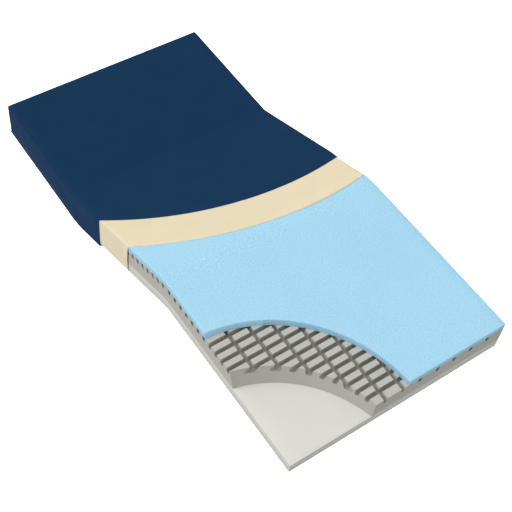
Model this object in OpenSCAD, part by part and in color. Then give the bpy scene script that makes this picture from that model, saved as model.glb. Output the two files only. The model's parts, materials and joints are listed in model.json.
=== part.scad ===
// Pressure relief mattress for a profiling hospital bed, shown as a cutaway: a wipe-clean cover,
// a fire barrier sock, a gel foam top, a cross-cut cell foam core and a firm base foam.
// +X runs towards the foot end, +Z is up, and the origin is the middle of the box's base.

/* [Foam stack] */
// Width of the foam core
foam_w = 902; // [700:1:1100]
// Thickness of the base foam
base_t = 46; // [30:1:70]
// Thickness of the cross-cut cell foam
cell_t = 74; // [50:1:100]
// Thickness of the gel foam
gel_t = 23; // [12:1:50]

/* [Sections] */
// Underside length of the back section, from the hip line to the head end
back_len = 570; // [500:1:800]
// Underside length of the seat section, from the hip line to the knee line
seat_len = 703; // [600:1:800]
// Underside length of the foot section, from the knee line to the foot end
foot_len = 738; // [600:1:900]
// Bend at the hip line at rest, in degrees
hip_bend = 20.2; // [5:0.1:30]
// Bend at the knee line at rest, in degrees
knee_bend = 19.7; // [5:0.1:25]

/* [Cell cuts] */
// Number of cell columns across the width
cell_cols = 12; // [6:1:16]
// Pitch of the cuts across the mattress
cut_pitch = 36.5; // [30:0.5:50]
// Width of each cut
cut_w = 15; // [8:0.5:20]
// Depth of each cut
cut_d = 24; // [10:1:40]
// Length of the last cell row, to the middle of the first cut from the foot end
end_row = 36; // [25:1:50]

/* [Sock and cover] */
// How far the fire barrier's inner and outer faces stand off the foam
sock_in = 0.4; // [0.3:0.1:0.5]
sock_out = 1.9; // [1.5:0.1:2.2]
// How far the cover's inner and outer faces stand off the foam
cover_in = 3; // [2.6:0.1:3.2]
cover_out = 6.2; // [6:0.1:8]

/* [Cutaway] */
// Radius that trims the cover
cover_r = 1035; // [900:5:1200]
// Radius that trims the fire barrier
sock_r = 1145; // [1000:5:1300]
// Radius of the corner cut in the gel foam
gel_r = 507; // [400:1:520]
// Radius of the corner cut in the cell foam
cell_r = 437; // [300:1:450]

/* [Zip] */
// Length of the zip across the head end
zip_len = 840; // [600:10:840]
// Height of the zip's middle above the foam's underside
zip_z = 47; // [40:1:60]
// Width of the slot that holds the zip
zip_slot = 14; // [12:1:16]
// Length of the flap over the zip
flap_len = 800; // [500:10:800]
// Depth of the flap
flap_h = 42; // [30:1:45]
// Length of the pull tab
pull_len = 26; // [15:1:30]

/* [Hidden] */
$fn = 48;

// Heights of the layer faces above the foam's underside
cell_z = base_t;
gel_z = base_t + cell_t;
foam_t = base_t + cell_t + gel_t;

// Mitre slopes of the two bends
hip_k = tan(hip_bend / 2);
knee_k = tan(knee_bend / 2);

// Rows of cuts, counted from the foot end, the knee line and the hip line
foot_rows = floor((foot_len - end_row) / cut_pitch) + 1;
seat_first = seat_len + 5;
seat_rows = floor((seat_first - gel_z * hip_k - cut_pitch / 2) / cut_pitch) + 1;
back_first = 36;
back_rows = floor((back_len - back_first) / cut_pitch) + 1;

// The flex zones end between two rows of cuts
hip_back = back_first + 1.5 * cut_pitch;
hip_seat = seat_first - (seat_rows - 2.5) * cut_pitch;
knee_seat = seat_first - 1.5 * cut_pitch;
knee_foot = foot_len - end_row - (foot_rows - 2.5) * cut_pitch;

// Each bend stops this far short of the section that swings about it
bend_gap = 0.02;

// How far the zip flap's two faces stand off the foam
flap_u = [10, 11];

// The mattress stands on the cover at the hip line and on the foot end's lower edge
foot_x = seat_len + foot_len * cos(knee_bend);
foot_z = -foot_len * sin(knee_bend);
hip_x = -cover_out * hip_k;
seat_tilt = atan2(-cover_out - foot_z, foot_x - hip_x);
hip_low = hip_x * sin(seat_tilt) - cover_out * cos(seat_tilt);
back_tilt = hip_bend - seat_tilt;
foot_tilt = knee_bend - seat_tilt;
head_x = -(back_len + cover_out) * cos(back_tilt) - cover_out * sin(back_tilt);
head_reach = -(back_len + flap_u[1]) * cos(back_tilt)
    + (zip_z - flap_h / 2) * sin(back_tilt);
foot_reach = seat_len * cos(seat_tilt) + foot_len * cos(foot_tilt)
    + foam_t * sin(foot_tilt);
box_mid = (min(head_x, head_reach) + foot_reach) / 2;

// Centres of the curved trims, in the plane that each is cut square to
cover_cut = [-571, 255];
sock_cut = [-520, 241];
gel_cut = [1471, -485];
cell_cut = [1532, -541];
trim_fn = 96;

// The zip, in the head end's own frame: how far each piece stands off the foam
tape_u = [4.2, 4.8];
teeth_u = [3.5, 5.5];
teeth_w = 1.6;
slider_y = 395;
slider_len = 12;
slider_w = 8.4;
plate_in = [2.2, 3.1];
plate_out = [5.9, 6.9];
pull_u = 8.4;
pull_r = 1.3;
pull_bore = 0.75;
bridge_r = 0.45;
pull_w = 4.4;
tab_w = 7;
tab_t = 1.2;
pull_lean = 2.5;
flap_gap = 0.7;
binding_u = 9.6;
flap_top = zip_z + flap_h / 2;
flap_y0 = -zip_len / 2 - 5;

gel_blue = [0.66, 0.85, 0.95];
cell_grey = [0.72, 0.72, 0.69];
base_white = [0.87, 0.86, 0.82];
sock_cream = [0.93, 0.87, 0.75];
cover_navy = [0.11, 0.22, 0.34];
zip_black = [0.08, 0.09, 0.11];
zip_steel = [0.6, 0.61, 0.63];

// Frames of the three sections: seat and foot grow along +X, back grows along -X
module seat_frame() {
    translate([-box_mid, 0, -hip_low]) rotate([0, -seat_tilt, 0]) children();
}
module back_frame() {
    seat_frame() rotate([0, hip_bend, 0]) children();
}
module foot_frame() {
    seat_frame() translate([seat_len, 0, 0]) rotate([0, knee_bend, 0]) children();
}

// A slab of width w with the outline points, which are [x, z] pairs
module sheet_of(points, w) {
    rotate([90, 0, 0]) linear_extrude(w, center = true) polygon(points);
}

// A point s along the underside of the back or foot section and z above it, seen from the seat frame
function on_back(s, z) = [z * sin(hip_bend) - s * cos(hip_bend), z * cos(hip_bend) + s * sin(hip_bend)];
function on_foot(s, z) = [seat_len + z * sin(knee_bend) + s * cos(knee_bend),
                          z * cos(knee_bend) - s * sin(knee_bend)];

// The stretches of a layer that spans the heights z. Straight ones are drawn in their own section's
// frame, and the bends in the seat frame. more lengthens the far end, and open the cut ends.
module straight(x0, x1, z, w) {
    sheet_of([[x0, z[0]], [x1, z[0]], [x1, z[1]], [x0, z[1]]], w);
}
module back_part(z, w, more = 0, open = 0) {
    straight(-back_len - more, open - hip_back, z, w);
}
module seat_part(z, w, more = 0, open = 0) {
    straight(hip_seat - open, knee_seat + more, z, w);
}
module foot_part(z, w) {
    straight(knee_foot, foot_len, z, w);
}
module hip_part(z, w, open = 0) {
    seat_end = hip_seat + open;
    back_end = hip_back - bend_gap + open;
    sheet_of([on_back(back_end, z[0]), [z[0] * hip_k, z[0]], [seat_end, z[0]],
              [seat_end, z[1]], [z[1] * hip_k, z[1]], on_back(back_end, z[1])], w);
}
module knee_part(z, w) {
    foot_end = knee_foot - bend_gap;
    sheet_of([[knee_seat, z[0]], [seat_len + z[0] * knee_k, z[0]], on_foot(foot_end, z[0]),
              on_foot(foot_end, z[1]), [seat_len + z[1] * knee_k, z[1]], [knee_seat, z[1]]], w);
}

// The two halves of the cell foam at each bend, either side of the mitre
module hip_back_half(z, w) {
    end = bend_gap - hip_back;
    sheet_of([[end, z[0]], [-z[0] * hip_k, z[0]], [-z[1] * hip_k, z[1]], [end, z[1]]], w);
}
module hip_seat_half(z, w) {
    sheet_of([[z[0] * hip_k, z[0]], [hip_seat, z[0]], [hip_seat, z[1]], [z[1] * hip_k, z[1]]], w);
}
module knee_seat_half(z, w) {
    mitre = [seat_len + z[0] * knee_k, seat_len + z[1] * knee_k];
    sheet_of([[knee_seat, z[0]], [mitre[0], z[0]], [mitre[1], z[1]], [knee_seat, z[1]]], w);
}
module knee_foot_half(z, w) {
    end = knee_foot - bend_gap;
    sheet_of([[-z[0] * knee_k, z[0]], [end, z[0]], [end, z[1]], [-z[1] * knee_k, z[1]]], w);
}

// Upright posts that trim the layers to curved edges
module trim_post(at, low, r) {
    translate([at[0], at[1], low]) cylinder(h = 5 * foam_t, r = r, $fn = trim_fn);
}
module cover_trim() {
    back_frame() trim_post(cover_cut, -foam_t, cover_r);
}
module sock_trim() {
    back_frame() trim_post(sock_cut, -foam_t, sock_r);
}
module gel_trim() {
    seat_frame() trim_post(gel_cut, -3 * foam_t, gel_r);
}
module cell_trim() {
    seat_frame() trim_post(cell_cut, -3 * foam_t, cell_r);
}

// One round-bottomed cut, as a 2D slot open at the top
module slot_2d() {
    translate([0, gel_z - cut_d + cut_w / 2]) circle(d = cut_w, $fn = 24);
    translate([-cut_w / 2, gel_z - cut_d + cut_w / 2]) square([cut_w, cut_d]);
}
module cross_cuts(first, step, rows) {
    for (i = [0 : rows - 1])
        translate([first + i * step, 0, 0]) rotate([90, 0, 0])
            linear_extrude(foam_w + 20, center = true) slot_2d();
}
module long_cuts(x0, x1) {
    col = foam_w / cell_cols;
    for (i = [1 : cell_cols - 1])
        translate([x0, -foam_w / 2 + i * col, 0]) rotate([90, 0, 90])
            linear_extrude(x1 - x0) slot_2d();
}
module back_cuts() {
    cross_cuts(-back_first, -cut_pitch, back_rows);
    long_cuts(-back_len - 10, 0);
}
module seat_cuts(x0, x1) {
    cross_cuts(seat_first, -cut_pitch, seat_rows);
    long_cuts(x0, x1);
}
module foot_cuts() {
    cross_cuts(foot_len - end_row, -cut_pitch, foot_rows);
    long_cuts(-gel_z * knee_k - 10, foot_len + 10);
}

// Base foam
base_zz = [0, base_t];
module base_foam_back() { color(base_white) back_frame() back_part(base_zz, foam_w); }
module base_foam_hip() {
    color(base_white) seat_frame() hip_part(base_zz, foam_w);
}
module base_foam_seat() { color(base_white) seat_frame() seat_part(base_zz, foam_w); }
module base_foam_knee() {
    color(base_white) seat_frame() knee_part(base_zz, foam_w);
}
module base_foam_foot() { color(base_white) foot_frame() foot_part(base_zz, foam_w); }

// Cell foam, cut from above into rows and columns of cells
cell_zz = [cell_z, gel_z];
module cell_foam_back() {
    color(cell_grey) back_frame() difference() {
        back_part(cell_zz, foam_w);
        back_cuts();
    }
}
module cell_foam_hip() {
    color(cell_grey) {
        back_frame() difference() {
            hip_back_half(cell_zz, foam_w);
            back_cuts();
        }
        seat_frame() difference() {
            hip_seat_half(cell_zz, foam_w);
            seat_cuts(0, hip_seat + 10);
        }
    }
}
module cell_foam_seat() {
    color(cell_grey) seat_frame() difference() {
        seat_part(cell_zz, foam_w);
        seat_cuts(0, seat_len);
    }
}
module cell_foam_knee() {
    color(cell_grey) {
        seat_frame() difference() {
            knee_seat_half(cell_zz, foam_w);
            seat_cuts(knee_seat - 10, seat_len + gel_z);
        }
        foot_frame() difference() {
            knee_foot_half(cell_zz, foam_w);
            foot_cuts();
        }
    }
}
module cell_foam_foot() {
    color(cell_grey) difference() {
        foot_frame() difference() {
            foot_part(cell_zz, foam_w);
            foot_cuts();
        }
        cell_trim();
    }
}

// Gel foam
gel_zz = [gel_z, foam_t];
module gel_foam_back() { color(gel_blue) back_frame() back_part(gel_zz, foam_w); }
module gel_foam_hip() {
    color(gel_blue) seat_frame() hip_part(gel_zz, foam_w);
}
module gel_foam_seat() { color(gel_blue) seat_frame() seat_part(gel_zz, foam_w); }
module gel_foam_knee() {
    color(gel_blue) seat_frame() knee_part(gel_zz, foam_w);
}
module gel_foam_foot() {
    color(gel_blue) difference() {
        foot_frame() foot_part(gel_zz, foam_w);
        gel_trim();
    }
}

// Fire barrier: a knitted sock, closed at the head end
sock_zz = [-sock_out, foam_t + sock_out];
sock_void = [-sock_in, foam_t + sock_in];
sock_w = foam_w + 2 * sock_out;
sock_void_w = foam_w + 2 * sock_in;
module fire_barrier_back() {
    color(sock_cream) back_frame() difference() {
        back_part(sock_zz, sock_w, sock_out);
        back_part(sock_void, sock_void_w, sock_in, 1);
    }
}
module fire_barrier_hip() {
    color(sock_cream) seat_frame() difference() {
        hip_part(sock_zz, sock_w);
        hip_part(sock_void, sock_void_w, 1);
    }
}
module fire_barrier_seat() {
    color(sock_cream) intersection() {
        seat_frame() difference() {
            seat_part(sock_zz, sock_w, cut_pitch * 3);
            seat_part(sock_void, sock_void_w, cut_pitch * 3 + 1, 1);
        }
        sock_trim();
    }
}

// Cover: a stretch top with its side walls, and a base sheet that turns up to the zip
cover_w = foam_w + 2 * cover_out;
cover_void_w = foam_w + 2 * cover_in;
top_zz = [-cover_in, foam_t + cover_out];
base_sheet = [-cover_out, -cover_in];
cover_void = [-cover_in - 1, foam_t + cover_in];
// A bar along the head end, from u[0] to u[1] outside the foam, y[0] to y[1] and z[0] to z[1]
module head_bar(u, y, z) {
    translate([-back_len - u[1], y[0], z[0]]) cube([u[1] - u[0], y[1] - y[0], z[1] - z[0]]);
}
module cover_top_back() {
    slot_y = [-zip_len / 2, zip_len / 2];
    color(cover_navy) back_frame() difference() {
        back_part(top_zz, cover_w, cover_out);
        back_part(cover_void, cover_void_w, cover_in, 1);
        head_bar([cover_in - 1, cover_out + 1], slot_y, [-cover_in - 1, zip_z + zip_slot / 2]);
    }
}
module cover_top_hip() {
    color(cover_navy) seat_frame() difference() {
        hip_part(top_zz, cover_w);
        hip_part(cover_void, cover_void_w, 1);
    }
}
module cover_top_seat() {
    color(cover_navy) intersection() {
        seat_frame() difference() {
            seat_part(top_zz, cover_w);
            seat_part(cover_void, cover_void_w, 1, 1);
        }
        cover_trim();
    }
}
module cover_base_back() {
    upstand_y = [-zip_len / 2, zip_len / 2];
    color(cover_navy) back_frame() {
        back_part(base_sheet, cover_w, cover_out);
        head_bar([cover_in, cover_out], upstand_y, [-cover_in, zip_z - zip_slot / 2]);
    }
}
module cover_base_hip() {
    color(cover_navy) seat_frame() hip_part(base_sheet, cover_w);
}
module cover_base_seat() {
    color(cover_navy) intersection() {
        seat_frame() seat_part(base_sheet, cover_w);
        cover_trim();
    }
}

// Zip across the head end, under its flap
half_zip = zip_len / 2;
chain_y = [-half_zip + 6, slider_y + 3];
module zip_tape_upper() {
    color(zip_black) back_frame()
        head_bar(tape_u, [-half_zip, half_zip], [zip_z + teeth_w, zip_z + zip_slot / 2]);
}
module zip_tape_lower() {
    color(zip_black) back_frame()
        head_bar(tape_u, [-half_zip, half_zip], [zip_z - zip_slot / 2, zip_z - teeth_w]);
}
module zip_teeth_upper() {
    color(zip_black) back_frame() head_bar(teeth_u, chain_y, [zip_z, zip_z + teeth_w]);
}
module zip_teeth_lower() {
    color(zip_black) back_frame() head_bar(teeth_u, chain_y, [zip_z - teeth_w, zip_z]);
}
module zip_stops() {
    far = slider_y + slider_len / 2 + 3;
    zz = [zip_z - teeth_w, zip_z + teeth_w];
    color(zip_steel) back_frame() {
        head_bar(teeth_u, [far, far + 3], zz);
        head_bar(teeth_u, [-half_zip + 2, -half_zip + 6], zz);
    }
}
module zip_slider() {
    yy = [slider_y - slider_len / 2, slider_y + slider_len / 2];
    zz = [zip_z - slider_w / 2, zip_z + slider_w / 2];
    post = 1;
    span = pull_w / 2 + 0.3;
    post_zz = [zip_z - bridge_r * 2, zip_z + bridge_r * 2];
    color(zip_steel) back_frame() {
        head_bar(plate_in, yy, zz);
        head_bar(plate_out, yy, zz);
        head_bar([plate_in[1], plate_out[0]], [slider_y + 3.4, slider_y + 5.2], [zip_z - 1.2, zip_z + 1.2]);
        for (y = [slider_y - span - post, slider_y + span])
            head_bar([plate_out[1], pull_u + 2 * bridge_r], [y, y + post], post_zz);
        translate([-back_len - pull_u, slider_y + span + post / 2, zip_z]) rotate([90, 0, 0])
            cylinder(h = 2 * span + post, r = bridge_r);
    }
}
module zip_pull() {
    color(zip_steel) back_frame()
        translate([-back_len - pull_u, slider_y, zip_z]) rotate([0, -pull_lean, 0]) difference() {
            union() {
                rotate([90, 0, 0]) cylinder(h = pull_w, r = pull_r, center = true);
                translate([-tab_t / 2, -pull_w / 2, -pull_r - 3]) cube([tab_t, pull_w, pull_r + 3]);
                translate([-tab_t / 2, -tab_w / 2, -pull_len]) cube([tab_t, tab_w, pull_len - pull_r - 3]);
            }
            rotate([90, 0, 0]) cylinder(h = pull_w + 2, r = pull_bore, center = true);
        }
}
module zip_flap() {
    color(cover_navy) back_frame()
        head_bar(flap_u, [flap_y0, flap_y0 + flap_len], [zip_z - flap_h / 2, flap_top]);
}
module flap_binding() {
    binding_zz = [flap_top + flap_gap, flap_top + flap_gap + 6];
    color(cover_navy) back_frame()
        head_bar([cover_out, binding_u], [flap_y0, flap_y0 + flap_len], binding_zz);
}

base_foam_back();
base_foam_hip();
base_foam_seat();
base_foam_knee();
base_foam_foot();
cell_foam_back();
cell_foam_hip();
cell_foam_seat();
cell_foam_knee();
cell_foam_foot();
gel_foam_back();
gel_foam_hip();
gel_foam_seat();
gel_foam_knee();
gel_foam_foot();
fire_barrier_back();
fire_barrier_hip();
fire_barrier_seat();
cover_top_back();
cover_top_hip();
cover_top_seat();
cover_base_back();
cover_base_hip();
cover_base_seat();
zip_tape_upper();
zip_tape_lower();
zip_teeth_upper();
zip_teeth_lower();
zip_stops();
zip_slider();
zip_pull();
zip_flap();
flap_binding();
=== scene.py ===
import json
import math

import bmesh
import bpy
from bpy.props import FloatProperty, FloatVectorProperty, IntProperty, PointerProperty
from mathutils import Matrix, Vector


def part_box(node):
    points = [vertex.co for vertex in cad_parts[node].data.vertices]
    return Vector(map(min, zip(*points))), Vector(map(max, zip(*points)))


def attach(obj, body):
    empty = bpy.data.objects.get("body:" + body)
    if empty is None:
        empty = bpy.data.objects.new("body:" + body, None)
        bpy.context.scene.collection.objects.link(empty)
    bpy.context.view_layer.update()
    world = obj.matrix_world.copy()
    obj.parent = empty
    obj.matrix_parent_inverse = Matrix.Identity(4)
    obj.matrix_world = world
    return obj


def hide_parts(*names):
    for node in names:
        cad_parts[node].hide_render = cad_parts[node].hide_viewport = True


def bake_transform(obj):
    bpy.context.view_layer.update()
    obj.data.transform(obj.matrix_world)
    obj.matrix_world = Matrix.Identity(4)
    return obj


bl_info = {
    "name": "Pressure relief mattress",
    "version": (1, 0, 0),
    "blender": (4, 5, 0),
    "location": "3D View > Sidebar > Mattress",
    "description": "Foams, fire barrier, cover and zip of a cutaway pressure relief mattress",
    "category": "Object",
}

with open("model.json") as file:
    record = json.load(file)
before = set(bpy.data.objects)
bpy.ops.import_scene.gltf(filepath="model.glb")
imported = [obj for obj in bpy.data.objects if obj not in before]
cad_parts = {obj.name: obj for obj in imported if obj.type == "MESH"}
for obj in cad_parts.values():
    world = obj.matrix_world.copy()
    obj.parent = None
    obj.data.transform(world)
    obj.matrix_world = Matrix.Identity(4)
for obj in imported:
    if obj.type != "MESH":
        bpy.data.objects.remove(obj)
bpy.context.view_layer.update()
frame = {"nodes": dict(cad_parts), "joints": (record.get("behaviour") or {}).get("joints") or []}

# The bends: where the hip and knee lines lie, and how far each is bent at rest
joints = {joint["name"]: joint for joint in frame["joints"]}
HIP_AT = Vector(joints["hip_bend"]["pos_m"])
KNEE_AT = Vector(joints["knee_bend"]["pos_m"])
HIP_BEND = math.radians(-joints["hip_bend"]["range_deg"][0])
KNEE_BEND = math.radians(-joints["knee_bend"]["range_deg"][0])
SEAT_LENGTH = (KNEE_AT - HIP_AT).length
SEAT_TILT = math.atan2(KNEE_AT.z - HIP_AT.z, KNEE_AT.x - HIP_AT.x)

# The foams, each in two pieces, meet here, under the cover, measured from the hip line
FOAM_SPLIT = 0.142
# A length to each side of the hip line, around the bend of the back against the seat
HIP_FLEX = 0.13
# Places to each side of the knee line, around the bend of the foot against the seat, measured from
# the hip line
KNEE_FLEX = (0.69, 0.80)
# Lines lie closer together between these marks, so that the pieces bend smoothly
HIP_MARKS = (-0.06, 0.06)
KNEE_MARKS = (0.65, 0.76)

# The curved trims of cover and sock, square to the back section: x and y of the centre, and radius
COVER_TRIM = (-0.571, 0.255, 1.035)
SOCK_TRIM = (-0.520, 0.241, 1.145)
# The corner cuts of gel and cell foam, square to the seat section, in the same way
GEL_CORNER = (1.471, -0.485, 0.507)
CELL_CORNER = (1.532, -0.541, 0.437)

# Outside half width of the cover
COVER_HALF = 0.457
# Where the flap over the zip starts and ends across the head end
FLAP_SPAN = (-0.425, 0.375)
# The flap reaches this far above and below the middle of the zip
FLAP_REACH = 0.021

# A sheet's lines run straight up to the first place, and the second is drawn in to its trim
COVER_DRAW = (0.12, 0.56)
SOCK_DRAW = (0.30, 0.74)

MID_HEIGHT = 0.07
FOAM_EDGE_ROUND = 0.0014


class MattressSizes(bpy.types.PropertyGroup):
    foam_width: FloatProperty(
        name="Foam width", description="Width of the foam core", default=0.902, unit="LENGTH"
    )
    base_foam: FloatProperty(
        name="Base foam", description="Thickness of the base foam", default=0.046, unit="LENGTH"
    )
    cell_foam: FloatProperty(
        name="Cell foam", description="Thickness of the cell foam", default=0.074, unit="LENGTH"
    )
    gel_foam: FloatProperty(
        name="Gel foam", description="Thickness of the gel foam", default=0.023, unit="LENGTH"
    )
    back_length: FloatProperty(
        name="Back length", description="Hip line to head end", default=0.570, unit="LENGTH"
    )
    foot_length: FloatProperty(
        name="Foot length", description="Knee line to foot end", default=0.738, unit="LENGTH"
    )
    hip_round: FloatProperty(
        name="Hip rounding",
        description="How far the rounded bend reaches to each side of the hip line",
        default=0.045, unit="LENGTH",
    )
    knee_round: FloatProperty(
        name="Knee rounding",
        description="How far the rounded bend reaches to each side of the knee line",
        default=0.022, unit="LENGTH",
    )
    cell_columns: IntProperty(
        name="Cell columns", description="Number of cells across the width", default=12
    )
    cut_pitch: FloatProperty(
        name="Cut pitch", description="Distance from cut to cut", default=0.0365, unit="LENGTH"
    )
    cut_width: FloatProperty(
        name="Cut width", description="Width of a cut between cells", default=0.015, unit="LENGTH"
    )
    cut_depth: FloatProperty(
        name="Cut depth", description="Depth of a cut between cells", default=0.024, unit="LENGTH"
    )
    end_row: FloatProperty(
        name="End row",
        description="Foot end to the middle of the first cut",
        default=0.036, unit="LENGTH",
    )
    sock_stand: FloatProperty(
        name="Sock stand-off",
        description="How far the fire barrier's outside stands off the foam",
        default=0.0019, unit="LENGTH",
    )
    sock_cloth: FloatProperty(
        name="Sock cloth", description="Thickness of the fire barrier",
        default=0.0014, unit="LENGTH"
    )
    cover_stand: FloatProperty(
        name="Cover stand-off",
        description="How far the cover's outside stands off the foam",
        default=0.0062, unit="LENGTH",
    )
    cover_cloth: FloatProperty(
        name="Cover cloth", description="Thickness of the cover fabric",
        default=0.0012, unit="LENGTH"
    )
    zip_height: FloatProperty(
        name="Zip height", description="Middle of the zip above the foam's underside",
        default=0.047, unit="LENGTH"
    )
    zip_length: FloatProperty(
        name="Zip length", description="Length of the zip opening", default=0.840, unit="LENGTH"
    )
    zip_slot: FloatProperty(
        name="Zip slot", description="Width of the slot that holds the zip",
        default=0.014, unit="LENGTH"
    )
    tooth_pitch: FloatProperty(
        name="Tooth pitch", description="Distance from tooth to tooth",
        default=0.0026, unit="LENGTH"
    )
    stitch_pitch: FloatProperty(
        name="Stitch pitch", description="Distance from stitch to stitch",
        default=0.0042, unit="LENGTH"
    )


class MattressColours(bpy.types.PropertyGroup):
    cover: FloatVectorProperty(
        name="Cover", description="Coated cover fabric", subtype="COLOR", size=3,
        default=(0.0106, 0.0390, 0.0965), min=0.0, max=1.0,
    )
    sock: FloatVectorProperty(
        name="Fire barrier", description="Knitted fire barrier", subtype="COLOR", size=3,
        default=(0.850, 0.748, 0.522), min=0.0, max=1.0,
    )
    gel: FloatVectorProperty(
        name="Gel foam", description="Gel foam", subtype="COLOR", size=3,
        default=(0.392, 0.697, 0.890), min=0.0, max=1.0,
    )
    cell: FloatVectorProperty(
        name="Cell foam", description="Cross-cut cell foam", subtype="COLOR", size=3,
        default=(0.525, 0.520, 0.474), min=0.0, max=1.0,
    )
    base: FloatVectorProperty(
        name="Base foam", description="Firm base foam", subtype="COLOR", size=3,
        default=(0.708, 0.700, 0.655), min=0.0, max=1.0,
    )
    zip_black: FloatVectorProperty(
        name="Zip", description="Zip tape and teeth", subtype="COLOR", size=3,
        default=(0.012, 0.014, 0.020), min=0.0, max=1.0,
    )
    steel: FloatVectorProperty(
        name="Steel", description="Slider, pull and stops", subtype="COLOR", size=3,
        default=(0.56, 0.57, 0.59), min=0.0, max=1.0,
    )
    thread: FloatVectorProperty(
        name="Thread", description="Sewing thread", subtype="COLOR", size=3,
        default=(0.020, 0.060, 0.135), min=0.0, max=1.0,
    )


def sizes():
    return bpy.context.scene.mattress_sizes


def colours():
    return bpy.context.scene.mattress_colours


# ---------------------------------------------------------------- places


def seat_to_row(x, y, z):
    """A point given along and above the seat section's underside, in the shared frame."""
    c, s = math.cos(SEAT_TILT), math.sin(SEAT_TILT)
    return Vector((HIP_AT.x + x * c - z * s, y, HIP_AT.z + x * s + z * c))


def bending():
    """Returns the move that takes a point of the flat mattress to its place on the bent one.
    x runs from the hip line towards the foot end, and z is above the foam's underside."""
    hip_round, knee_round = sizes().hip_round, sizes().knee_round
    hip_radius = hip_round / math.tan(HIP_BEND / 2)
    knee_radius = knee_round / math.tan(KNEE_BEND / 2)
    knee_start, knee_end = SEAT_LENGTH - knee_round, SEAT_LENGTH + knee_round

    def lay(p):
        x, z = p.x, p.z
        if x < -hip_round:
            c, s = math.cos(HIP_BEND), math.sin(HIP_BEND)
            return seat_to_row(x * c + z * s, p.y, z * c - x * s)
        if x < hip_round:
            turn = HIP_BEND * (hip_round - x) / (2 * hip_round)
            r = hip_radius - z
            return seat_to_row(
                hip_round - r * math.sin(turn), p.y, hip_radius - r * math.cos(turn)
            )
        if x < knee_start:
            return seat_to_row(x, p.y, z)
        if x < knee_end:
            turn = KNEE_BEND * (x - knee_start) / (2 * knee_round)
            r = knee_radius + z
            return seat_to_row(
                knee_start + r * math.sin(turn), p.y, r * math.cos(turn) - knee_radius
            )
        c, s = math.cos(KNEE_BEND), math.sin(KNEE_BEND)
        along = x - SEAT_LENGTH
        return seat_to_row(SEAT_LENGTH + along * c + z * s, p.y, z * c - along * s)

    return lay


def knee_stretch(z):
    """How much longer the rounded knee is at height z than the flat mattress is there."""
    knee_round = sizes().knee_round
    return (knee_round / math.tan(KNEE_BEND / 2) + z) * KNEE_BEND / (2 * knee_round)


def trim_line(centre_x, centre_y, radius):
    """Returns x on the seat section of a curved trim, which is round seen square to the back."""
    knee_start = SEAT_LENGTH - sizes().knee_round

    def reach(y, z):
        across = math.sqrt(radius**2 - (y - centre_y) ** 2)
        x = (centre_x + across + z * math.sin(HIP_BEND)) / math.cos(HIP_BEND)
        return x if x < knee_start else knee_start + (x - knee_start) / knee_stretch(z)

    return reach


def corner_line(centre_x, centre_y, radius, end):
    """Returns x on the foot section of a corner cut, which is round seen square to the seat."""

    def reach(y, z):
        room = radius**2 - (y - centre_y) ** 2
        if room <= 0:
            return end
        x = centre_x - math.sqrt(room) - SEAT_LENGTH
        along = (x - z * math.sin(KNEE_BEND)) / math.cos(KNEE_BEND)
        return min(end, SEAT_LENGTH + along)

    return reach


def spread(start, end, step):
    """Evenly spaced places from start to end, at most step apart."""
    n = max(1, math.ceil(abs(end - start) / step - 1e-6))
    return [start + (end - start) * i / n for i in range(n + 1)]


def through(marks, step):
    """Places at every mark, and between the marks at most step apart."""
    out = [marks[0]]
    for a, b in zip(marks, marks[1:]):
        out += spread(a, b, step)[1:]
    return out


def head_lines():
    """The lines across a foam's head piece."""
    return through([-sizes().back_length, *HIP_MARKS, FOAM_SPLIT], 0.012)


def foot_lines():
    """The lines across a foam's foot piece."""
    return through([FOAM_SPLIT, *KNEE_MARKS, SEAT_LENGTH + sizes().foot_length], 0.012)


# ---------------------------------------------------------------- meshes


def net(bm, us, vs):
    """A flat net of faces with its lines at us and vs. Returns its vertices by line numbers."""
    made = bmesh.ops.create_grid(
        bm, x_segments=len(us) - 1, y_segments=len(vs) - 1, size=0.5
    )["verts"]
    knots = {}
    for v in made:
        i = round((v.co.x + 0.5) * (len(us) - 1))
        j = round((v.co.y + 0.5) * (len(vs) - 1))
        v.co = (us[i], vs[j], 0)
        knots[i, j] = v
    return knots


def sharp_edges(bm, angle=50):
    """The edges where the faces turn by more than the angle, in degrees."""
    limit = math.radians(angle)
    return [
        e for e in bm.edges if len(e.link_faces) == 2 and e.calc_face_angle(0) > limit
    ]


def round_edges(bm, edges, offset, segments=2):
    """Rounds the edges off, starting offset away from each."""
    bmesh.ops.bevel(
        bm, geom=edges, offset=offset, segments=segments, profile=0.5,
        affect="EDGES", material=-1, clamp_overlap=True,
    )


def slab(xs, ys, low, high, fixed=None, reach=None):
    """A closed slab of foam from low to high. Past fixed its lines draw in to reach."""
    bm = bmesh.new()
    net(bm, xs, ys)
    bmesh.ops.translate(bm, vec=(0, 0, high), verts=bm.verts[:])
    made = bmesh.ops.extrude_face_region(bm, geom=bm.faces[:])["geom"]
    lower = [g for g in made if isinstance(g, bmesh.types.BMVert)]
    bmesh.ops.translate(bm, vec=(0, 0, low - high), verts=lower)
    if reach:
        for v in bm.verts:
            if v.co.x > fixed:
                share = (v.co.x - fixed) / (xs[-1] - fixed)
                v.co.x = fixed + share * (reach(v.co.y, v.co.z) - fixed)
    bmesh.ops.recalc_face_normals(bm, faces=bm.faces[:])
    round_edges(bm, sharp_edges(bm), FOAM_EDGE_ROUND)
    # Painted shade: every face but the top is marked to be darkened in full
    mark_painted_shade(bm, lambda face, loop: 0.0 if face.normal.z > 0.3 else 1.0)
    return bm


def mark_painted_shade(bm, how_shaded):
    """Marks how much painted shade each face takes, from 0 on the foam's lit skin to 1."""
    layer = bm.loops.layers.float.get("cut") or bm.loops.layers.float.new("cut")
    for face in bm.faces:
        for loop in face.loops:
            loop[layer] = how_shaded(face, loop)


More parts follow.
